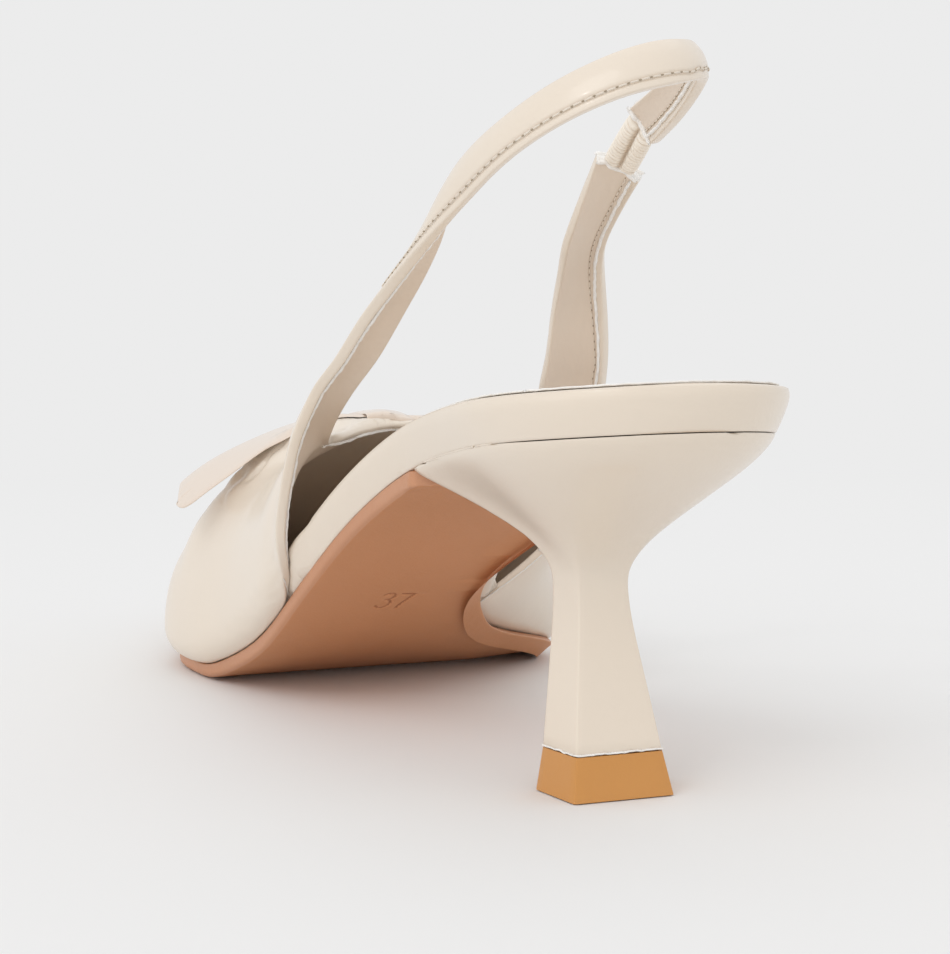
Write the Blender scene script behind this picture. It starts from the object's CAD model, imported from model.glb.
# %% [markdown]
# This scene dresses one slingback sandal, the left shoe of a pair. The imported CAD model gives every
# form its place and size. Each cell makes one piece or one finish of the shoe on top of it.

# %% Load the frame
import math

import bmesh
import bpy
from mathutils import Matrix, Vector, noise
from mathutils.bvhtree import BVHTree
from mathutils.kdtree import KDTree


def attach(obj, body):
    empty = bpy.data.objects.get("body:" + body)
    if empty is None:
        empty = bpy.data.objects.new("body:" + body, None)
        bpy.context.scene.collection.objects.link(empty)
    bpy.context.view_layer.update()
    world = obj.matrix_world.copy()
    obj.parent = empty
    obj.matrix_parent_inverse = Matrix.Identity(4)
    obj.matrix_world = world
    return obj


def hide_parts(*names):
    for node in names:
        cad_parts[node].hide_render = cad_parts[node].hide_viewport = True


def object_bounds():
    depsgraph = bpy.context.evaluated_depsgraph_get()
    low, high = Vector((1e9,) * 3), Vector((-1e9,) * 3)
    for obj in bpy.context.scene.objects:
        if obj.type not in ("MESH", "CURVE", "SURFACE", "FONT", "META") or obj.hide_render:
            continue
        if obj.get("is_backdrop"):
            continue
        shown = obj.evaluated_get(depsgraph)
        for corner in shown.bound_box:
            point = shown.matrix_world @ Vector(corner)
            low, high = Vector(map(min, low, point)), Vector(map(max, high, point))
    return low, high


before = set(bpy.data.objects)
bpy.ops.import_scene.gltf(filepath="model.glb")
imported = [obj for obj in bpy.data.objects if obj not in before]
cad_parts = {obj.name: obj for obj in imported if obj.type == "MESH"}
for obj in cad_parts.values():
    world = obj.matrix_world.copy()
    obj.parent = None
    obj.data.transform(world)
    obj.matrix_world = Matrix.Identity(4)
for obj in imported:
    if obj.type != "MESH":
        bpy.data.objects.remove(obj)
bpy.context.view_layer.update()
MM = 0.001


def rise(value, start, end):
    """A share that is 0 before start, 1 past end, and changes evenly between them."""
    return min(1.0, max(0.0, (value - start) / (end - start)))


print("frame nodes", sorted(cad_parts))

# %% [markdown]
# The camera stands where the photographer stood, low behind the heel. Its place and turn were worked
# out from the shoe's own edges, and a long lens keeps the perspective as mild as in the picture.

# %% Camera
CAMERA_PLACE = Vector((-0.13904, -0.29958, 0.07843))
CAMERA_RIGHT = Vector((0.931725, -0.363153, -0.002967))
CAMERA_UP = Vector((0.034511, 0.080405, 0.996165))
LENS_MM = 80.76

bpy.ops.object.select_all(action="DESELECT")
bpy.ops.object.camera_add(location=CAMERA_PLACE)
camera = bpy.context.active_object
backwards = CAMERA_RIGHT.cross(CAMERA_UP)
turn = Matrix((CAMERA_RIGHT, CAMERA_UP, backwards)).transposed()
camera.matrix_world = Matrix.Translation(CAMERA_PLACE) @ turn.to_4x4()
camera.data.lens = LENS_MM
camera.data.clip_start = 0.01
bpy.context.scene.camera = camera
bpy.context.scene.view_settings.view_transform = "Standard"
print("camera lens", camera.data.lens)


# %% [markdown]
# A studio floor runs into the wall without a line. Here one large disc is lit like any surface near
# the shoe, so that it takes the shadow, and glows with the wall's own grey farther out.

# %% Floor and wall
WALL_GREY = (0.838, 0.838, 0.838, 1.0)
FLOOR_GREY = (0.855, 0.855, 0.855, 1.0)


def new_material(name):
    made = bpy.data.materials.new(name)
    made.use_nodes = True
    tree = made.node_tree
    return made, tree, tree.nodes["Principled BSDF"]


def shader_node(tree, kind, **values):
    node = tree.nodes.new(kind)
    for key, value in values.items():
        if hasattr(node, key):
            setattr(node, key, value)
        else:
            node.inputs[key].default_value = value
    return node


def link(tree, out, into):
    tree.links.new(out, into)


def ramp(tree, source, stops):
    node = tree.nodes.new("ShaderNodeValToRGB")
    band = node.color_ramp
    while len(band.elements) < len(stops):
        band.elements.new(0.5)
    for element, (place, shade) in zip(band.elements, stops):
        element.position = place
        element.color = shade if len(shade) == 4 else (*shade, 1.0)
    link(tree, source, node.inputs["Fac"])
    return node.outputs["Color"]


def floor_material():
    made, tree, shader = new_material("studio_floor")
    shader.inputs["Base Color"].default_value = FLOOR_GREY
    shader.inputs["Roughness"].default_value = 0.9
    shader.inputs["Specular IOR Level"].default_value = 0.0
    place = shader_node(tree, "ShaderNodeTexCoord")
    distance = shader_node(tree, "ShaderNodeVectorMath", operation="LENGTH")
    link(tree, place.outputs["Object"], distance.inputs[0])
    far = ramp(tree, distance.outputs["Value"], [(0.26, (0.0, 0.0, 0.0)), (0.60, (1.0, 1.0, 1.0))])
    glow = shader_node(tree, "ShaderNodeEmission", Color=WALL_GREY)
    mix = shader_node(tree, "ShaderNodeMixShader")
    link(tree, far, mix.inputs["Fac"])
    link(tree, shader.outputs["BSDF"], mix.inputs[1])
    link(tree, glow.outputs["Emission"], mix.inputs[2])
    link(tree, mix.outputs["Shader"], tree.nodes["Material Output"].inputs["Surface"])
    return made


bpy.ops.mesh.primitive_circle_add(vertices=96, radius=6.0, fill_type="NGON", location=(0, 0, -0.0002))
floor = bpy.context.active_object
floor.name = "studio_floor"
floor.data.materials.append(floor_material())
floor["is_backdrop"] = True

world = bpy.data.worlds.new("studio_wall")
bpy.context.scene.world = world
world.use_nodes = True
world.node_tree.nodes["Background"].inputs["Color"].default_value = WALL_GREY
world.node_tree.nodes["Background"].inputs["Strength"].default_value = 1.0
print("floor and wall made")


# %% [markdown]
# The picture is lit almost from all round, as in a white tent. A wide soft light from the upper left
# adds the gentle sheen, and a weaker one from behind keeps the far side open. Both are so far away
# that the floor stays one even grey, except where the shoe shades it.

# %% Lights
def far_light(name, toward, strength, width):
    bpy.ops.object.light_add(type="SUN", location=Vector(toward))
    lamp = bpy.context.active_object
    lamp.name = name
    lamp.data.energy = strength
    lamp.data.angle = math.radians(width)
    lamp.rotation_euler = (-Vector(toward)).to_track_quat("-Z", "Y").to_euler()
    return lamp


def softbox(name, place, aim, size, power):
    bpy.ops.object.light_add(type="AREA", location=place)
    lamp = bpy.context.active_object
    lamp.name = name
    lamp.data.shape = "RECTANGLE"
    lamp.data.size, lamp.data.size_y = size
    lamp.data.energy = power
    lamp.rotation_euler = (Vector(aim) - Vector(place)).to_track_quat("-Z", "Y").to_euler()
    return lamp


far_light("upper_left", (-0.62, -0.42, 0.85), 0.36, 34)
far_light("from_behind", (0.30, 0.45, 1.0), 0.16, 50)
far_light("low_left", (-1.0, -0.62, 0.16), 0.34, 60)
softbox("spark", (-0.75, -0.55, 0.75), (0.0, 0.0, 0.08), (0.10, 0.03), 0.35)
print("lights made")


# %% [markdown]
# Most of the shoe is cream patent leather: a smooth coloured base under a clear glossy skin. Very
# fine unevenness in the bump breaks the reflections, and a slow drift of colour keeps it from
# looking like paint.

# %% Patent leather
CREAM = (0.83, 0.735, 0.625)
CREAM_WARM = (0.81, 0.705, 0.585)


def patent(name, light, warm, roughness=0.36, coat=0.45, wrinkle=0.22):
    made, tree, shader = new_material(name)
    place = shader_node(tree, "ShaderNodeTexCoord")
    slow = shader_node(tree, "ShaderNodeTexNoise", Scale=16.0, Detail=2.0)
    link(tree, place.outputs["Object"], slow.inputs["Vector"])
    shade = ramp(tree, slow.outputs["Fac"], [(0.35, warm), (0.65, light)])
    link(tree, shade, shader.inputs["Base Color"])
    shader.inputs["Roughness"].default_value = roughness
    shader.inputs["Coat Weight"].default_value = coat
    shader.inputs["Coat Roughness"].default_value = 0.1
    fine = shader_node(tree, "ShaderNodeTexNoise", Scale=1500.0, Detail=3.0)
    crease = shader_node(tree, "ShaderNodeTexNoise", Scale=120.0, Detail=4.0, Roughness=0.6)
    for texture in (fine, crease):
        link(tree, place.outputs["Object"], texture.inputs["Vector"])
    first = shader_node(tree, "ShaderNodeBump", Strength=0.10, Distance=0.0001)
    link(tree, fine.outputs["Fac"], first.inputs["Height"])
    second = shader_node(tree, "ShaderNodeBump", Strength=wrinkle, Distance=0.0006)
    link(tree, crease.outputs["Fac"], second.inputs["Height"])
    link(tree, first.outputs["Normal"], second.inputs["Normal"])
    link(tree, second.outputs["Normal"], shader.inputs["Normal"])
    return made


patent_cream = patent("patent_cream", CREAM, CREAM_WARM)
bow_patent = patent("bow_patent", (0.79, 0.675, 0.575), (0.77, 0.65, 0.545), roughness=0.30)
print("patent leather made")


# %% [markdown]
# The lining is beige leather: nearly matt, with a fine grain of pores. The sole is waxed tan leather,
# the heel's lift amber rubber. Where leather is cut through, its pale felted core shows.

# %% Lining, sole, lift and edge finishes
def grained(name, light, dark, roughness, scale, depth, spread=40.0, strength=0.5):
    made, tree, shader = new_material(name)
    place = shader_node(tree, "ShaderNodeTexCoord")
    slow = shader_node(tree, "ShaderNodeTexNoise", Scale=spread, Detail=4.0)
    link(tree, place.outputs["Object"], slow.inputs["Vector"])
    shade = ramp(tree, slow.outputs["Fac"], [(0.3, dark), (0.7, light)])
    link(tree, shade, shader.inputs["Base Color"])
    shader.inputs["Roughness"].default_value = roughness
    grain = shader_node(tree, "ShaderNodeTexNoise", Scale=scale, Detail=5.0, Roughness=0.65)
    link(tree, place.outputs["Object"], grain.inputs["Vector"])
    bump = shader_node(tree, "ShaderNodeBump", Strength=strength, Distance=depth)
    link(tree, grain.outputs["Fac"], bump.inputs["Height"])
    link(tree, bump.outputs["Normal"], shader.inputs["Normal"])
    return made


lining = grained("lining_beige", (0.80, 0.69, 0.58), (0.76, 0.64, 0.525), 0.42, 260.0, 0.0003)
raw_edge = grained("raw_edge", (0.99, 0.98, 0.96), (0.92, 0.89, 0.85), 0.9, 1600.0, 0.0006, spread=900.0)
thread = grained("thread", (0.86, 0.78, 0.68), (0.78, 0.69, 0.58), 0.6, 2500.0, 0.0002)
needle_hole = grained("needle_hole", (0.42, 0.34, 0.25), (0.34, 0.27, 0.19), 0.9, 900.0, 0.0001)
sole_tan = grained("sole_tan", (0.61, 0.275, 0.127), (0.565, 0.25, 0.11), 0.5, 900.0, 0.00015, spread=24.0)
sole_stamped = grained("sole_stamped", (0.46, 0.18, 0.075), (0.41, 0.155, 0.062), 0.5, 900.0, 0.00015)
sole_edge = grained("sole_edge", (0.61, 0.30, 0.165), (0.57, 0.27, 0.145), 0.42, 900.0, 0.00015)
lift_amber = grained("lift_amber", (0.63, 0.29, 0.075), (0.60, 0.27, 0.065), 0.3, 700.0, 0.0001)
knit = grained("elastic_knit", (0.86, 0.76, 0.64), (0.80, 0.69, 0.56), 0.7, 1500.0, 0.0003)
knit_tree = knit.node_tree
folds = shader_node(knit_tree, "ShaderNodeAttribute", attribute_name="fold")
fold_shade = ramp(knit_tree, folds.outputs["Fac"], [(0.0, (0.70, 0.60, 0.49)), (0.75, (0.95, 0.88, 0.78))])
link(knit_tree, fold_shade, knit_tree.nodes["Principled BSDF"].inputs["Base Color"])
print("finishes made")


# %% [markdown]
# Each solid of the CAD model is a cage of flat facets. A copy is welded, its triangles are joined
# back into quads, its real corners are creased, and a subdivision surface rounds the rest.

# %% Smooth copies of the CAD nodes
def cage(node, name, finishes):
    bpy.ops.object.select_all(action="DESELECT")
    piece = bpy.data.objects.new(name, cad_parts[node].data.copy())
    bpy.context.scene.collection.objects.link(piece)
    bpy.context.view_layer.objects.active = piece
    piece.select_set(True)
    piece.data.materials.clear()
    for finish in finishes:
        piece.data.materials.append(finish)
    bpy.ops.object.mode_set(mode="EDIT")
    bpy.ops.mesh.select_all(action="SELECT")
    bpy.ops.mesh.remove_doubles(threshold=2e-6)
    bpy.ops.mesh.tris_convert_to_quads(face_threshold=math.radians(50), shape_threshold=math.radians(80))
    bpy.ops.mesh.normals_make_consistent(inside=False)
    bpy.ops.object.mode_set(mode="OBJECT")
    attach(piece, "root")
    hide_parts(node)
    return piece


def opened(piece):
    mesh = bmesh.new()
    mesh.from_mesh(piece.data)
    mesh.faces.ensure_lookup_table()
    return mesh


def closed(piece, mesh):
    mesh.to_mesh(piece.data)
    mesh.free()
    piece.data.update()


def crease_corners(piece, sharp, crease):
    mesh = opened(piece)
    layer = mesh.edges.layers.float.get("crease_edge") or mesh.edges.layers.float.new("crease_edge")
    for edge in mesh.edges:
        if len(edge.link_faces) == 2 and edge.calc_face_angle(0.0) > math.radians(sharp):
            edge[layer] = crease
    closed(piece, mesh)


FLAT_RINGS = (0.5 * MM, 3.0 * MM)


def keep_flat(mesh, group):
    """Rings set in from a flat face's border, so that rounding stays at its edge."""
    for step in FLAT_RINGS:
        bmesh.ops.inset_region(mesh, faces=group, thickness=step, use_even_offset=True)


def rounded(piece, levels, smooth_angle=50.0):
    bpy.context.view_layer.objects.active = piece
    if levels:
        rounding = piece.modifiers.new("rounding", "SUBSURF")
        rounding.levels = levels
        rounding.render_levels = levels
        bpy.ops.object.modifier_apply(modifier=rounding.name)
    bpy.ops.object.shade_smooth_by_angle(angle=math.radians(smooth_angle))


def regions(mesh, sharp):
    """Faces in groups that end at the sharp edges, the largest group first."""
    seen = set()
    groups = []
    for start in mesh.faces:
        if start in seen:
            continue
        seen.add(start)
        group = [start]
        for face in group:
            for edge in face.edges:
                if edge.calc_face_angle(0.0) > math.radians(sharp):
                    continue
                for other in edge.link_faces:
                    if other not in seen:
                        seen.add(other)
                        group.append(other)
        groups.append(group)
    return sorted(groups, key=lambda group: -sum(face.calc_area() for face in group))


# %% [markdown]
# Seams are drawn as lines on the surface: a border between two zones of faces is walked from vertex
# to vertex, set in by a small distance, and laid back on the leather.

# %% Lines on a surface
def border(mesh, zone):
    """Closed walk round one zone of faces: (place, the zone's own normal there)."""
    nexts = {}
    for edge in mesh.edges:
        kinds = {face.material_index for face in edge.link_faces}
        if len(kinds) == 2 and zone in kinds:
            one, other = edge.verts
            nexts.setdefault(one, []).append(other)
            nexts.setdefault(other, []).append(one)
    start = min(nexts, key=lambda vert: vert.index)
    walk = [start, nexts[start][0]]
    while walk[-1] is not start and len(walk) <= len(nexts):
        ahead = [vert for vert in nexts[walk[-1]] if vert is not walk[-2]]
        walk.append(ahead[0])
    out = []
    for vert in walk[:-1]:
        own = [face.normal for face in vert.link_faces if face.material_index == zone]
        out.append((vert.co.copy(), sum(own, Vector()).normalized()))
    return out


def part_of(walk, first, last, avoid):
    """The stretch of a closed walk from near one point to near another, past neither of avoid."""
    nearest = [min(range(len(walk)), key=lambda i: (walk[i][0] - point).length)
               for point in (first, last, avoid)]
    begin, end, other = nearest
    count = len(walk)
    forward = [(begin + i) % count for i in range((end - begin) % count + 1)]
    if other in forward:
        forward = [(begin - i) % count for i in range((begin - end) % count + 1)]
    return [walk[i] for i in forward]


def evenly(line, step):
    """The line resampled at equal steps: (place, normal, direction)."""
    out = []
    travelled = 0.0
    wanted = 0.0
    for (a, na), (b, nb) in zip(line, line[1:]):
        span = (b - a).length
        while span > 1e-9 and wanted <= travelled + span:
            share = (wanted - travelled) / span
            out.append((a.lerp(b, share), na.lerp(nb, share).normalized(), (b - a).normalized()))
            wanted += step
        travelled += span
    return out


def finder(places):
    """Nearest-point search over a list of places."""
    tree = KDTree(len(places))
    for i, place in enumerate(places):
        tree.insert(place, i)
    tree.balance()
    return tree


SEAM_EASING = 6


def set_in(line, tree, toward, distance):
    """The line moved across the surface by a distance, toward another line, and laid on it."""
    guide = finder([place for place, _ in toward])
    out = []
    for place, normal, direction in line:
        goal = guide.find(place)[0] - place
        across = normal.cross(direction).normalized()
        if across.dot(goal) < 0.0:
            across.negate()
        step = distance(place) if callable(distance) else distance
        spot, up, _, _ = tree.find_nearest(place + across * step)
        if up.dot(normal) < 0.0:
            up = normal
        out.append((spot, up))
    for _ in range(SEAM_EASING):
        eased = [out[0]]
        for before, here, after in zip(out, out[1:], out[2:]):
            spot, up, _, _ = tree.find_nearest((before[0] + here[0] * 2 + after[0]) / 4)
            if up.dot(here[1]) < 0.0:
                up = here[1]
            eased.append((spot, up.lerp(here[1], 0.5).normalized()))
        out = [*eased, out[-1]]
    return out


def zone_tree(mesh, zone):
    """Nearest-point search over one zone of faces."""
    faces = [face for face in mesh.faces if face.material_index == zone]
    verts = [vert.co.copy() for vert in mesh.verts]
    return BVHTree.FromPolygons(verts, [[vert.index for vert in face.verts] for face in faces])


def press(mesh, line, depth, width, zone=None, fade=0.0):
    """A soft trough (or, with a negative depth, a ridge) along a line of places."""
    near = finder(line)
    last = max(1, len(line) - 1)
    moves = []
    for vert in mesh.verts:
        if zone is not None and not any(face.material_index == zone for face in vert.link_faces):
            continue
        _, i, away = near.find(vert.co)
        if away > 3.0 * width:
            continue
        ends = math.sin(math.pi * min(0.5, min(i, last - i) / (last * fade))) if fade else 1.0
        moves.append((vert, vert.normal * (-depth * ends * math.exp(-(away / width) ** 2))))
    for vert, move in moves:
        vert.co += move


# %% [markdown]
# Threads, raw edges and cement lines are thin cords. A cord is a small tube swept along a line, sunk
# a little into the leather, and uneven where it is frayed.

# %% Cords and stitches
def piece_from(name, points, faces, finish, slot):
    data = bpy.data.meshes.new(name)
    data.from_pydata(points, [], faces)
    data.materials.append(finish)
    piece = bpy.data.objects.new(name, data)
    bpy.context.scene.collection.objects.link(piece)
    bpy.ops.object.select_all(action="DESELECT")
    bpy.context.view_layer.objects.active = piece
    piece.select_set(True)
    bpy.ops.object.mode_set(mode="EDIT")
    bpy.ops.mesh.select_all(action="SELECT")
    bpy.ops.mesh.normals_make_consistent(inside=False)
    bpy.ops.object.mode_set(mode="OBJECT")
    bpy.ops.object.shade_smooth()
    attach(piece, "root")
    return piece


FRAY_SCALE = 900.0
THICKNESS_SCALE = 700.0


def add_cord(points, faces, line, radii, sides=6, fray=0.0, sunk=0.3):
    """Adds one tube along (place, normal) pairs; radii gives its radius at each of them."""
    first = len(points)
    for i, (place, normal) in enumerate(line):
        before = line[max(0, i - 1)][0]
        after = line[min(len(line) - 1, i + 1)][0]
        side = (after - before).cross(normal).normalized()
        loose = noise.noise_vector(place * FRAY_SCALE) * fray
        middle = place + normal * radii[i] * (1.0 - 2.0 * sunk) + loose
        for k in range(sides):
            angle = 2.0 * math.pi * k / sides
            points.append(middle + (side * math.cos(angle) + normal * math.sin(angle)) * radii[i])
    for i in range(len(line) - 1):
        for k in range(sides):
            a = first + i * sides + k
            b = first + i * sides + (k + 1) % sides
            faces.append((a, b, b + sides, a + sides))
    faces.append(tuple(first + k for k in reversed(range(sides))))
    faces.append(tuple(first + (len(line) - 1) * sides + k for k in range(sides)))


def cord(name, lines, radius, finish, slot, **options):
    points, faces = [], []
    for line in lines:
        radii = [radius * (1.0 + 0.25 * noise.noise(place * THICKNESS_SCALE)) for place, _ in line]
        add_cord(points, faces, line, radii, **options)
    return piece_from(name, points, faces, finish, slot)


STITCH_SHAPE = [(-0.5, 0.35), (-0.38, 0.85), (0.0, 1.0), (0.38, 0.85), (0.5, 0.35)]
HOLE_SHAPE = [(-1.6, 0.3), (-0.7, 0.9), (0.7, 0.9), (1.6, 0.3)]


def stitch_row(threads, pits, line, pitch, length, radius):
    """Stitches laid end to end on a line, with a needle hole between each two."""
    count = 0
    for place, normal, direction in evenly(line, pitch):
        marks = [(place + direction * length * share, normal) for share, _ in STITCH_SHAPE]
        add_cord(*threads, marks, [radius * size for _, size in STITCH_SHAPE], sunk=0.25)
        hole = place + direction * pitch * 0.5
        pit = [(hole + direction * radius * share, normal) for share, _ in HOLE_SHAPE]
        add_cord(*pits, pit, [radius * size for _, size in HOLE_SHAPE], sunk=0.45)
        count += 1
    return count


# %% [markdown]
# The outsole is cut from tan leather and its edge is scraped and waxed, which leaves it lighter than
# the walking side. Its flat sides keep rings of faces near their borders, so that only the very edge
# is rounded.

# %% Outsole with its waxed edge
SOLE_EDGE = 1

sole = cage("outsole", "sole", [sole_tan, sole_edge, sole_stamped])
mesh = opened(sole)
flats = regions(mesh, 25.0)
for group in flats[2:]:
    for face in group:
        face.material_index = SOLE_EDGE
for group in flats[:2]:
    keep_flat(mesh, group)
closed(sole, mesh)
crease_corners(sole, 38.0, 0.75)
rounded(sole, 2)
print("sole faces", len(sole.data.polygons))

# %% [markdown]
# Under the hollow of the waist a maker pares the sole to a thin edge, so that it does not show beside
# the foot. The lower border is moved out and up there, and its upper border stays where it is. The
# ground under the ball is then set flat.

# %% Pared edge at the waist
WAIST_FROM = 70.0
WAIST_TO = 134.0
HOLLOW_FROM = 58.0
HOLLOW_FULL = (84.0, 88.0)
TAN_UP_TO = 96.0
TAN_BAND = 1.1 * MM
MEDIAL_FROM = 2 * MM
PARED_REACH = 4.5 * MM
THROUGH_SOLE = Vector((0.0, 0.5, 0.86))
PARED_UP = 2.0 * MM
PARED_OUT = 3.4 * MM
SOLE_THICK = 2.6 * MM

mesh = opened(sole)
mesh.normal_update()
lower_edge = [vert for vert in mesh.verts if vert.normal.z < 0.2 and vert.co.x > MEDIAL_FROM
              and WAIST_FROM * MM < vert.co.y < WAIST_TO * MM
              and {face.material_index for face in vert.link_faces} == {0, SOLE_EDGE}]
near_edge = finder([vert.co.copy() for vert in lower_edge])
outward = [Vector((vert.normal.x, vert.normal.y, 0.0)).normalized() for vert in lower_edge]
moves = []
for vert in mesh.verts:
    along = vert.co.y / MM
    edge_place, i, away = near_edge.find(vert.co)
    share = math.sin(math.pi * rise(along, WAIST_FROM, WAIST_TO)) * math.exp(-(away / PARED_REACH) ** 2)
    share *= 1.0 - rise((vert.co - edge_place).dot(THROUGH_SOLE), 0.0, SOLE_THICK)
    hollow = rise(along, HOLLOW_FROM, HOLLOW_FULL[0]) * rise(along, WAIST_TO, HOLLOW_FULL[1])
    moves.append((vert, (outward[i] * PARED_OUT * hollow + Vector((0, 0, PARED_UP))) * share))
for vert, move in moves:
    vert.co += move
for face in mesh.faces:
    centre = face.calc_center_median()
    away = near_edge.find(centre)[2]
    if away < TAN_BAND and WAIST_FROM < centre.y / MM < TAN_UP_TO and centre.x > MEDIAL_FROM:
        face.material_index = 0
for vert in mesh.verts:
    vert.co.z = max(vert.co.z, 0.0)
closed(sole, mesh)
print("pared along", len(lower_edge), "places")

# %% [markdown]
# The size is stamped into the sole with hot brass numerals before it is glued on. The leather sinks
# and darkens under them. The faces round the place are cut into a fine grid, and each stroke is
# pressed into that grid as a soft trough.

# %% Size stamped into the sole
STAMP_PLACE = Vector((-9.4, 74.7, 20.55)) * MM
STAMP_RIGHT = Vector((0.99, 0.10, -0.07))
STAMP_STEP = 0.2
STAMP_HALF = 3.8
STAMP_FIELD = 14 * MM
STAMP_DEPTH = 0.28 * MM
STAMP_STROKE = 0.32 * MM
STAMPED = 2
STROKES = [
    [(-2.9, 2.3), (-2.3, 2.9), (-1.5, 3.0), (-0.8, 2.5), (-0.7, 1.6), (-1.1, 0.7), (-1.9, 0.3)],
    [(-1.9, 0.3), (-1.0, 0.0), (-0.5, -0.9), (-0.7, -2.1), (-1.4, -2.9), (-2.3, -3.0), (-3.0, -2.3)],
    [(0.5, 2.9), (3.1, 2.9), (2.5, 1.2), (1.8, -1.2), (1.5, -3.0)],
]


def between(places, step=0.4):
    """Places at equal steps along a line of corners given in millimetres."""
    corners = [(Vector(place) * MM, Vector((0, 0, 1))) for place in places]
    return [place for place, _, _ in evenly(corners, step * MM)]


mesh = opened(sole)
spot, out_of_sole, _, _ = BVHTree.FromBMesh(mesh).find_nearest(STAMP_PLACE)
right = (STAMP_RIGHT - out_of_sole * STAMP_RIGHT.dot(out_of_sole)).normalized()
upward = out_of_sole.cross(right)
for axis in (right, upward):
    for count in range(int(2 * STAMP_HALF / STAMP_STEP) + 1):
        level = (count * STAMP_STEP - STAMP_HALF) * MM
        near = [face for face in mesh.faces if face.normal.dot(out_of_sole) > 0.9
                and (face.calc_center_median() - spot).length < STAMP_FIELD]
        parts = near + list({edge for face in near for edge in face.edges})
        parts += list({vert for face in near for vert in face.verts})
        bmesh.ops.bisect_plane(mesh, geom=parts, plane_co=spot + axis * level, plane_no=axis)
mesh.normal_update()
strokes = [between([(spot + right * u * MM + upward * v * MM) / MM for u, v in stroke], 0.15)
           for stroke in STROKES]
for face in mesh.faces:
    centre = face.calc_center_median()
    if (centre - spot).length < 6 * MM and face.normal.dot(out_of_sole) > 0.9:
        if min((centre - place).length for line in strokes for place in line) < 0.8 * STAMP_STROKE:
            face.material_index = STAMPED
for line in strokes:
    press(mesh, line, STAMP_DEPTH, STAMP_STROKE)
closed(sole, mesh)
bpy.context.view_layer.objects.active = sole
sole.select_set(True)
bpy.ops.object.shade_smooth_by_angle(angle=math.radians(50))
print("stamped, faces now", len(sole.data.polygons))

# %% [markdown]
# The heel is a moulded core wrapped in the same patent leather. Its cover stops above the rubber lift
# and shows its cut edge there as an uneven pale line. The seat is pressed up against the insole, and
# a line of leather closes the joint between them.

# %% Covered heel and lift
COVER_EDGE = 1
SEAT = 2
SEAT_UP = 0.16 * MM


def mean_height(group):
    return sum(face.calc_center_median().z for face in group) / len(group)


heel = cage("heel", "covered_heel", [patent_cream, raw_edge, patent_cream])
mesh = opened(heel)
groups = regions(mesh, 38.0)
seat_top = max(groups, key=mean_height)
for vert in {vert for face in seat_top for vert in face.verts}:
    vert.co.z += SEAT_UP
for face in seat_top:
    face.material_index = SEAT
seat_line = border(mesh, SEAT)
under_lift = min(groups, key=mean_height)
for face in under_lift:
    face.material_index = COVER_EDGE
lift_line = border(mesh, COVER_EDGE)
keep_flat(mesh, under_lift)
closed(heel, mesh)
crease_corners(heel, 38.0, 0.8)
rounded(heel, 2)

lift = cage("top_lift", "heel_lift", [lift_amber])
bpy.ops.object.shade_smooth_by_angle(angle=math.radians(25))

middle = sum((place for place, _ in lift_line), Vector()) / len(lift_line)
around = [(place, Vector((place.x - middle.x, place.y - middle.y, 0.0)).normalized())
          for place, _ in [*lift_line, lift_line[0]]]
around = [(place, normal) for place, normal, _ in evenly(around, 0.35 * MM)]
cord("heel_cover_edge", [around], 0.16 * MM, raw_edge, "cream_leather", fray=0.18 * MM, sunk=0.35)
seat_line = [(place, Vector((normal.x, normal.y, 0.0)).normalized())
             for place, normal, _ in evenly([*seat_line, seat_line[0]], 0.6 * MM)]
cord("seat_seam", [seat_line], 0.13 * MM, patent_cream, "cream_leather", fray=0.03 * MM)
print("heel faces", len(heel.data.polygons), "seat line", len(seat_line))

# %% [markdown]
# The insole board is wrapped in cream leather, thick and soft over its rounded rim, with small creases
# where it is drawn round the seat. A thin beige sock is pasted flat on top. From behind, only its
# pale cut edge can be seen.

# %% Wrapped insole and sock
BED_DOWN = 0.14 * MM
SOCK_EDGE = 1
SOCK_TOP = 2
SOCK_LIFT = 0.03 * MM
SOCK_THINNED = 0.35
SOCK_UNDER = 0.4 * MM
FREE_AT_WINGS = (64.0, 90.0)
BED_CREASES = [
    [(-10.5, -28.2, 62.4), (-7.5, -28.9, 62.2), (-4.5, -29.3, 62.0)],
    [(-6.5, -29.0, 61.6), (-3.5, -29.5, 61.5), (-1.0, -29.6, 61.5)],
    [(-20.5, -18.0, 63.4), (-18.7, -21.0, 63.3), (-16.5, -23.6, 63.4)],
]

bed = cage("footbed", "wrapped_insole", [patent_cream])
mesh = opened(bed)
beds = regions(mesh, 38.0)
beds_under = beds[1]
for vert in {vert for face in beds_under for vert in face.verts}:
    vert.co.z -= BED_DOWN
keep_flat(mesh, beds_under)
closed(bed, mesh)
crease_corners(bed, 38.0, 0.7)
rounded(bed, 2)

mesh = opened(bed)
for line in BED_CREASES:
    press(mesh, between(line), 0.10 * MM, 0.5 * MM, fade=0.4)
at_wings = [vert for vert in mesh.verts if FREE_AT_WINGS[0] < vert.co.y / MM < FREE_AT_WINGS[1]]
for _ in range(8):
    bmesh.ops.smooth_vert(mesh, verts=at_wings, factor=0.5, use_axis_x=True, use_axis_y=True)
closed(bed, mesh)

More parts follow.
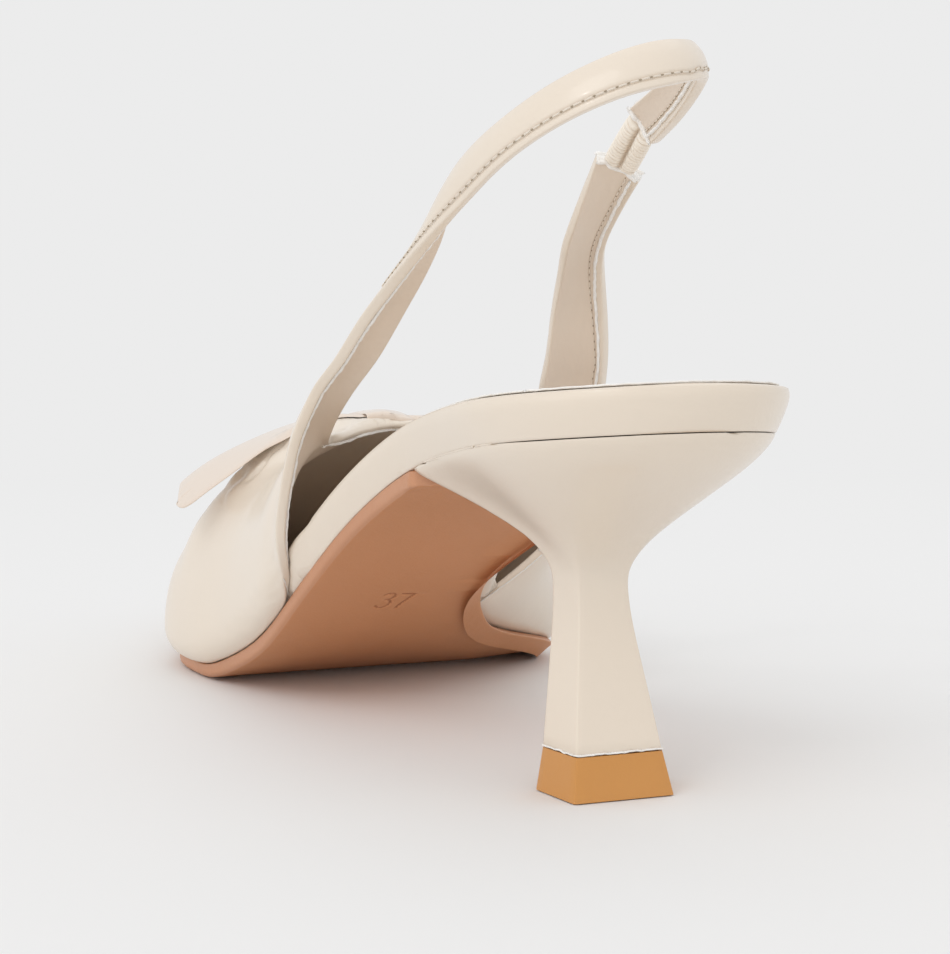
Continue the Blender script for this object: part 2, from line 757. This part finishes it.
sock = cage("insole_sock", "sock_lining", [lining, raw_edge, lining])
mesh = opened(sock)
layers = regions(mesh, 38.0)
for group in layers[2:]:
    for face in group:
        face.material_index = SOCK_EDGE
top_layer = max(layers[:2], key=lambda group: sum(face.normal.z for face in group) / len(group))
for face in top_layer:
    face.material_index = SOCK_TOP
bed_mesh = opened(bed)
bed_tree = BVHTree.FromBMesh(bed_mesh)
bed_mesh.free()
for vert in mesh.verts:
    ground = bed_tree.ray_cast(vert.co, Vector((0, 0, -1)), 0.004)[0]
    if ground is not None:
        height = vert.co.z - ground.z
        vert.co.z = ground.z + SOCK_LIFT + SOCK_THINNED * (height - SOCK_UNDER)
mesh.normal_update()
sock_line = border(mesh, SOCK_TOP)
closed(sock, mesh)
crease_corners(sock, 38.0, 0.9)
rounded(sock, 1)
sock_line = [(place, normal) for place, normal, _ in evenly([*sock_line, sock_line[0]], 0.6 * MM)]
cord("sock_edge", [sock_line], 0.17 * MM, raw_edge, "lining_leather", fray=0.08 * MM, sunk=0.45)
print("insole faces", len(bed.data.polygons), "sock line", len(sock_line))

# %% [markdown]
# Vamp, wings and straps are one upper: patent leather outside, beige lining inside. Along the lower
# edge the outer leather is turned over the edge, so that a cream band shows inside, and the lining's
# own raw edge ends on it. The three zones are found between the upper's sharp edges.

# %% Upper and its zones
OUTSIDE, INSIDE, RIM, CUT = 0, 1, 2, 3
MEDIAL_END = [Vector(place) * MM for place in ((12.8, 33.0, 100.2), (20.0, 31.8, 96.5))]
LATERAL_END = [Vector(place) * MM for place in ((11.6, 15.9, 108.2), (15.0, 13.9, 101.7))]
NEAR_SOLE = 0.5 * MM
ON_SOLE = 0.05 * MM
END_REACH = 4.2 * MM

shell = cage("upper", "vamp_and_straps", [patent_cream, lining, patent_cream, raw_edge])
mesh = opened(shell)
walked = opened(sole)
sole_tree = BVHTree.FromBMesh(walked)
walked.free()
for vert in mesh.verts:
    away = sole_tree.find_nearest(vert.co)[3]
    if away < NEAR_SOLE:
        vert.co.z -= max(0.0, away - ON_SOLE)
zones = regions(mesh, 50.0)
for index, group in enumerate(zones):
    for face in group:
        face.material_index = min(index, RIM)
for front, rear in (MEDIAL_END, LATERAL_END):
    centre = (front + rear) / 2
    for face in mesh.faces:
        if face.material_index == RIM and (face.calc_center_median() - centre).length < END_REACH:
            if abs(face.normal.dot((rear - front).normalized())) < 0.5:
                face.material_index = CUT
closed(shell, mesh)
crease_corners(shell, 50.0, 0.35)
rounded(shell, 2, smooth_angle=60.0)

mesh = opened(shell)
outer_walk = border(mesh, OUTSIDE)
inner_walk = border(mesh, INSIDE)
outer_rear = part_of(outer_walk, MEDIAL_END[1], LATERAL_END[1], MEDIAL_END[0])
outer_front = part_of(outer_walk, MEDIAL_END[0], LATERAL_END[0], MEDIAL_END[1])
inner_rear = part_of(inner_walk, MEDIAL_END[1], LATERAL_END[1], MEDIAL_END[0])
inner_front = part_of(inner_walk, MEDIAL_END[0], LATERAL_END[0], MEDIAL_END[1])
outer_tree = zone_tree(mesh, OUTSIDE)
inner_tree = zone_tree(mesh, INSIDE)
mesh.free()
print("upper borders", [len(line) for line in (outer_rear, outer_front, inner_rear, inner_front)])

# %% [markdown]
# The wrapped insole is lasted tight between the wings. Its side is let out a little at the medial
# waist and then laid against the lining, so that no gap is left beside the foot.

# %% Insole pressed against the wings
WAIST_MIDDLE = 77.0
WAIST_HALF = 17.0
WAIST_FULLER = 3.0 * MM
WINGS_TOUCH = (64.0, 76.0, 102.0, 112.0)
WING_REACH = 4.5 * MM
PRESSED_GAP = 0.1 * MM

mesh = opened(bed)
mesh.normal_update()
for vert in mesh.verts:
    share = math.cos(math.pi / 2 * min(1.0, abs(vert.co.y / MM - WAIST_MIDDLE) / WAIST_HALF)) ** 2
    if vert.co.x > 0.0 and vert.normal.x > 0.0:
        vert.co.x += WAIST_FULLER * share * min(1.0, 1.5 * vert.normal.x)
mesh.normal_update()
moves = []
for vert in mesh.verts:
    along = vert.co.y / MM
    share = rise(along, *WINGS_TOUCH[:2]) * rise(along, WINGS_TOUCH[3], WINGS_TOUCH[2])
    share = share * share * (3.0 - 2.0 * share)
    spot, _, _, away = inner_tree.find_nearest(vert.co)
    side = Vector((math.copysign(1.0, vert.co.x), 0.0, 0.0))
    ahead = spot - vert.co
    if share > 0.0 and away < WING_REACH and vert.normal.dot(side) > 0.35 and ahead.dot(side) > 0.0:
        moves.append((vert, ahead * share * max(0.0, 1.0 - PRESSED_GAP / max(away, 1e-9))))
for vert, move in moves:
    vert.co += move
closed(bed, mesh)
print("insole points moved", len(moves))

# %% [markdown]
# The maker marks the seams before stitching. Along the straps the outer row of stitches runs beside
# the turned edge. Inside, the lining is cut back a little, and its own row follows the cut. Along the
# throat the lining is cut back in the same way.

# %% Seam lines of the straps
STRAPS_ABOVE = 57 * MM
TWIST_ABOVE = 78 * MM
WINGS_ABOVE = 26.5 * MM
STITCH_IN = 2.1 * MM
LINING_IN = 0.9 * MM
LINING_IN_HIGH = 1.6 * MM
LINING_STITCHED_FROM = 4 * MM
LINING_RISES = (62 * MM, 76 * MM)
STITCH_BESIDE = 1.0 * MM
THROAT_IN = 1.3 * MM
THROAT_FROM = 79 * MM


def stretches(line, keep):
    """The runs of a line where keep holds."""
    runs = [[]]
    for entry in line:
        if keep(entry[0]):
            runs[-1].append(entry)
        elif runs[-1]:
            runs.append([])
    return [run for run in runs if len(run) > 3]


def on_straps(place):
    return place.z > STRAPS_ABOVE


def on_throat(place):
    return place.y > THROAT_FROM and place.z < STRAPS_ABOVE


def lining_in(place):
    high = rise(place.z, *LINING_RISES) if place.x > 0.0 else 0.0
    return LINING_IN + (LINING_IN_HIGH - LINING_IN) * high


def outside_stitched(place):
    return place.z > (STRAPS_ABOVE if place.x > 0.0 else TWIST_ABOVE)


def lining_stitched(place):
    return on_straps(place) and place.x > LINING_STITCHED_FROM


outer_seam = [set_in(evenly(run, 0.4 * MM), outer_tree, outer_front, STITCH_IN)
              for run in stretches(outer_rear, outside_stitched)]
lining_edge = [set_in(evenly(run, 0.4 * MM), inner_tree, inner_front, lining_in)
               for run in stretches(inner_rear, lambda place: place.z > WINGS_ABOVE)]
lining_edge += [set_in(evenly(run, 0.4 * MM), inner_tree, inner_rear, THROAT_IN)
                for run in stretches(inner_front, on_throat)]
inner_seam = [set_in(evenly(run, 0.4 * MM), inner_tree, inner_front,
                     lambda place: lining_in(place) + STITCH_BESIDE)
              for run in stretches(inner_rear, lining_stitched)]
print("seams", [len(run) for run in outer_seam + lining_edge + inner_seam])

# %% [markdown]
# Lasting and wear leave soft marks. The vamp is full beside the throat, where the bow gathers it into
# pleats. It puckers where the wing meets the sole. The seam lies in a shallow groove with the edge
# rolled beside it, and inside the straps the turned edge covers the border of the lining.

# %% Grooves, pleats and puckers
PLEATED_LOW = Vector((-36, 99, 30)) * MM
PLEATED_HIGH = Vector((-4, 128, 60)) * MM
FULLNESS_UP, FULLNESS_WIDTH = 3.6 * MM, 6.8 * MM
UNDER_BOW_UP, UNDER_BOW_WIDTH = 1.2 * MM, 5.0 * MM
PLEAT_UP, PLEAT_WIDTH = 1.1 * MM, 1.5 * MM
FOLD_DEPTH, FOLD_WIDTH = 0.7 * MM, 0.6 * MM
PUCKER_DEPTH, PUCKER_WIDTH = 0.22 * MM, 0.5 * MM
GROOVE_DEPTH, GROOVE_WIDTH = 0.26 * MM, 0.38 * MM
INNER_GROOVE_DEPTH, INNER_GROOVE_WIDTH = 0.10 * MM, 0.30 * MM
PLEATS = [
    [(-12.0, 104.0, 51.0), (-18.0, 107.5, 49.0), (-24.0, 113.5, 44.5), (-29.0, 121.0, 38.0)],
    [(-16.0, 101.0, 51.0), (-22.0, 104.0, 48.5), (-28.0, 109.5, 43.0), (-32.0, 116.0, 36.5)],
]
FULLNESS = [(2.0, 104.5, 52.5), (-14.0, 106.5, 50.5), (-21.0, 109.5, 47.0), (-28.0, 115.5, 42.0),
            (-34.0, 124.0, 34.5), (-38.0, 134.0, 25.0)]
UNDER_BOW = [(-6.0, 107.0, 52.5), (-14.0, 109.0, 51.0), (-21.0, 112.0, 47.5), (-28.0, 115.0, 43.0)]
FOLD = [(-20.5, 107.3, 48.0), (-22.7, 108.3, 46.2), (-24.8, 107.8, 44.4), (-26.5, 108.7, 42.4),
        (-27.8, 110.5, 40.9), (-28.9, 111.9, 39.6)]
PUCKERS = [
    [(-31.5, 72.5, 27.5), (-32.2, 75.0, 25.4), (-32.2, 78.0, 23.6)],
    [(-31.0, 75.5, 23.6), (-31.6, 77.5, 22.2), (-31.8, 80.0, 21.0)],
    [(-32.8, 73.0, 30.5), (-33.5, 76.5, 28.5), (-34.0, 80.0, 27.0)],
]



def in_box(place, low, high):
    return all(low[i] < place[i] < high[i] for i in range(3))


mesh = opened(shell)
pleated = [face for face in mesh.faces if face.material_index == OUTSIDE
           and in_box(face.calc_center_median(), PLEATED_LOW, PLEATED_HIGH)]
edges = list({edge for face in pleated for edge in face.edges})
bmesh.ops.subdivide_edges(mesh, edges=edges, cuts=2, use_grid_fill=True)
mesh.normal_update()
press(mesh, between(FULLNESS), -FULLNESS_UP, FULLNESS_WIDTH, zone=OUTSIDE, fade=0.8)
mesh.normal_update()
press(mesh, between(UNDER_BOW), -UNDER_BOW_UP, UNDER_BOW_WIDTH, zone=OUTSIDE, fade=0.5)
mesh.normal_update()
for line in PLEATS:
    press(mesh, between(line), -PLEAT_UP, PLEAT_WIDTH, zone=OUTSIDE, fade=0.35)
mesh.normal_update()
full_tree = zone_tree(mesh, OUTSIDE)
laid = [full_tree.find_nearest(place)[0] for place in between(FOLD)]
press(mesh, laid, FOLD_DEPTH, FOLD_WIDTH, zone=OUTSIDE, fade=0.5)
for line in PUCKERS:
    press(mesh, between(line), PUCKER_DEPTH, PUCKER_WIDTH, zone=OUTSIDE, fade=0.4)
mesh.normal_update()
for run in outer_seam:
    press(mesh, [place for place, _ in run], GROOVE_DEPTH, GROOVE_WIDTH, zone=OUTSIDE)
for run in inner_seam:
    press(mesh, [place for place, _ in run], INNER_GROOVE_DEPTH, INNER_GROOVE_WIDTH, zone=INSIDE)
rear_guide = finder([place for place, _ in inner_rear])
front_guide = finder([place for place, _ in inner_front])
for face in mesh.faces:
    centre = face.calc_center_median()
    if face.material_index == INSIDE and centre.z > WINGS_ABOVE:
        if rear_guide.find(centre)[2] < lining_in(centre):
            face.material_index = RIM
        elif on_throat(centre) and front_guide.find(centre)[2] < THROAT_IN:
            face.material_index = RIM
closed(shell, mesh)
print("upper faces", len(shell.data.polygons))

# %% [markdown]
# Stitches are laid one by one into their groove, with the needle's hole between each two. The lining
# ends in a raw pale edge, a little frayed, and a thin line of cement shows where the vamp meets the
# sole.

# %% Raw lining edge and stitches
LASTED_BELOW = 27 * MM
OUTER_STITCH = (1.72 * MM, 1.3 * MM, 0.15 * MM)
INNER_STITCH = (1.62 * MM, 1.1 * MM, 0.12 * MM)

cord("lining_raw_edge", lining_edge, 0.30 * MM, raw_edge, "lining_leather", fray=0.14 * MM, sunk=0.25)

threads, pits = ([], []), ([], [])
count = sum(stitch_row(threads, pits, run, *OUTER_STITCH) for run in outer_seam)
count += sum(stitch_row(threads, pits, run, *INNER_STITCH) for run in inner_seam)
lasting = stretches(outer_rear, lambda place: place.z < LASTED_BELOW)
lasting = [[(place, normal) for place, normal, _ in evenly(run, 0.6 * MM)] for run in lasting]
cord("lasting_line", lasting, 0.11 * MM, raw_edge, "cream_leather", sides=5, fray=0.10 * MM)
piece_from("strap_stitches", *threads, thread, "cream_leather")
piece_from("needle_holes", *pits, needle_hole, "cream_leather")
print("stitches", count)

# %% [markdown]
# The straps' cut ends are left raw. Their two layers show as rough pale lines on each side of the
# elastic.

# %% Cut ends of the straps
def cut_line(walk, front, rear, other):
    line = part_of(walk, front, rear, other)
    return [(place, normal) for place, normal, _ in evenly(line, 0.3 * MM)]


ends = []
for walk in (outer_walk, inner_walk):
    ends.append(cut_line(walk, MEDIAL_END[0], MEDIAL_END[1], LATERAL_END[0]))
    ends.append(cut_line(walk, LATERAL_END[0], LATERAL_END[1], MEDIAL_END[0]))
cord("strap_cut_edges", ends, 0.46 * MM, raw_edge, "cream_leather", sides=8, fray=0.34 * MM, sunk=0.35)
print("cut ends", [len(line) for line in ends])

# %% [markdown]
# The elastic is sewn in stretched and lets go afterwards, so its leather cover gathers into two
# columns of fine folds on both sides of the middle seam. Each fold is a raised wave, and its ends are
# tucked in between the two layers of the strap.

# %% Gathered elastic
FOLD_PITCH = 1.15
FOLD_UP = 0.55
SEAM_DOWN = 0.60
SEAM_HALF = 0.35
COLUMN_WIDTH = 2.8
TUCK_LENGTH = 1.7
TUCK_DEEPER = 1.6 * MM
TUCK_FLATTER = 0.75
INTO_WALL = 0.95 * MM

gore = cage("elastic", "gathered_gore", [knit])
rounded(gore, 4, smooth_angle=80.0)
start = (MEDIAL_END[0] + MEDIAL_END[1]) / 2
finish = (LATERAL_END[0] + LATERAL_END[1]) / 2
run = (finish - start).normalized()
across_start = (MEDIAL_END[1] - MEDIAL_END[0]).normalized()
across_finish = (LATERAL_END[1] - LATERAL_END[0]).normalized()
span = (finish - start).length
into_medial = -inner_tree.find_nearest(start)[1] * INTO_WALL
into_lateral = -outer_tree.find_nearest(finish)[1] * INTO_WALL
mesh = opened(gore)
mesh.normal_update()
shade_layer = mesh.verts.layers.float.new("fold")
moves = []
for vert in mesh.verts:
    along = (vert.co - start).dot(run)
    across = across_start.lerp(across_finish, along / span).normalized()
    aside = (vert.co - start - run * along).dot(across) / MM
    column = 1.0 if aside > 0.0 else -1.0
    drift = noise.noise(Vector((aside * 0.5, along / MM * 0.9, column)))
    fold = abs(math.sin(math.pi * (along / MM + 0.25 * column + 0.4 * drift) / FOLD_PITCH)) ** 0.7
    seam = math.exp(-(aside / SEAM_HALF) ** 2)
    bulge = math.sin(math.pi * min(1.0, abs(aside) / COLUMN_WIDTH))
    inside = max(0.0, min(along, span - along) / MM)
    tuck = math.exp(-(inside / TUCK_LENGTH) ** 2)
    deeper = -run if along < span / 2 else run
    depth = (vert.co - start - run * along - across * aside * MM).dot(run.cross(across))
    height = (FOLD_UP * fold * (0.35 + 0.65 * bulge) - SEAM_DOWN * seam) * (1.0 - tuck)
    vert[shade_layer] = fold * (1.0 - seam)
    moves.append(vert.normal * MM * height - run.cross(across) * depth * TUCK_FLATTER * tuck
                 + deeper * TUCK_DEEPER * tuck + into_medial.lerp(into_lateral, along / span))
for vert, move in zip(mesh.verts, moves):
    vert.co += move
closed(gore, mesh)
print("elastic faces", len(gore.data.polygons))

# %% [markdown]
# The bow is one soft ribbon of the same leather. Its loops are folded at their ends, which droop a
# little. The lower layer lies on the vamp, the rear edge rolls down to it near the middle, and a short
# band is wrapped tight over the middle.

# %% Bow
LYING_BELOW = 1.2
LYING_SUNK = 1.8
LYING_LOW = 0.25
LYING_RANGE = 0.95
STRIP = 1.5 * MM
ROLL_REACH = 1.8 * MM
ROLL_ENDS = 25 * MM
DROOP_X = (25.0, 38.0)
DROOP_Y = (122.0, 109.0)
END_DROOP = 1.5 * MM
KNOT_X = (15.0, 8.0)
KNOT_DROP = 1.0 * MM
KNOT_HEIGHTS = (0.25, 2.75)
BAND_REAR = 105.0
BAND_DOWN_Y = (112.0, 106.0)
BAND_SUNK = 0.2
PINCH = 0.8 * MM
PINCH_HALF = 7 * MM
PINCH_HEIGHTS = (0.0, 2.5)


def drawn_down(place, height):
    """How far the tight middle of the bow is drawn down to the vamp."""
    return KNOT_DROP * rise(abs(place.x) / MM, *KNOT_X) * rise(height, *KNOT_HEIGHTS)


def height_on_vamp(place):
    """Height over the vamp in millimetres and the vamp's own z, or None beside it."""
    ground = vamp_tree.ray_cast(place + Vector((0, 0, 0.02)), Vector((0, 0, -1)))[0]
    return None if ground is None else ((place.z - ground.z) / MM, ground.z)


mesh = opened(shell)
vamp_tree = zone_tree(mesh, OUTSIDE)
mesh.free()
for node, name in (("bow_loop_lateral", "bow_outer_loop"), ("bow_loop_medial", "bow_inner_loop")):
    loop = cage(node, name, [bow_patent])
    rounded(loop, 2, smooth_angle=70.0)
    mesh = opened(loop)
    rear_edge = {}
    for vert in mesh.verts:
        strip = round(vert.co.x / STRIP)
        rear_edge[strip] = min(rear_edge.get(strip, 1.0), vert.co.y)
    for vert in mesh.verts:
        droop = END_DROOP * rise(abs(vert.co.x) / MM, *DROOP_X) * rise(vert.co.y / MM, *DROOP_Y)
        found = height_on_vamp(vert.co)
        if found is not None:
            height, ground = found
            if height < LYING_BELOW:
                lying = (max(height, -LYING_SUNK) + LYING_SUNK) / (LYING_BELOW + LYING_SUNK)
                height = LYING_LOW + lying * LYING_RANGE
            behind = max(0.0, 1.0 - (vert.co.y - rear_edge[round(vert.co.x / STRIP)]) / ROLL_REACH)
            middle = max(0.0, 1.0 - abs(vert.co.x) / ROLL_ENDS)
            share = behind * behind * min(1.0, 1.6 * middle)
            height = height * (1.0 - share) + LYING_LOW * share
            vert.co.z = ground + height * MM - drawn_down(vert.co, height)
        vert.co.z -= droop
    closed(loop, mesh)
knot = cage("bow_band", "bow_wrap", [bow_patent])
crease_corners(knot, 70.0, 0.3)
rounded(knot, 2, smooth_angle=60.0)
mesh = opened(knot)
rear_low = {}
heights = {}
for vert in mesh.verts:
    found = height_on_vamp(vert.co)
    if found is not None:
        heights[vert] = found[0]
        if vert.co.y < BAND_REAR * MM:
            strip = round(vert.co.x / MM)
            rear_low[strip] = min(rear_low.get(strip, 9.0), heights[vert])
for vert, height in heights.items():
    low = max(-BAND_SUNK, rear_low.get(round(vert.co.x / MM), 0.0)) + BAND_SUNK
    pinched = PINCH * (vert.co.x / PINCH_HALF) ** 2 * rise(height, *PINCH_HEIGHTS)
    settled = low * MM * rise(vert.co.y / MM, *BAND_DOWN_Y)
    vert.co.z -= settled + drawn_down(vert.co, height) + pinched
closed(knot, mesh)
print("bow made")

# %% Record the sizes and finish
low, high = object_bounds()
print("visual box", [round(v, 4) for v in (*low, *high)])
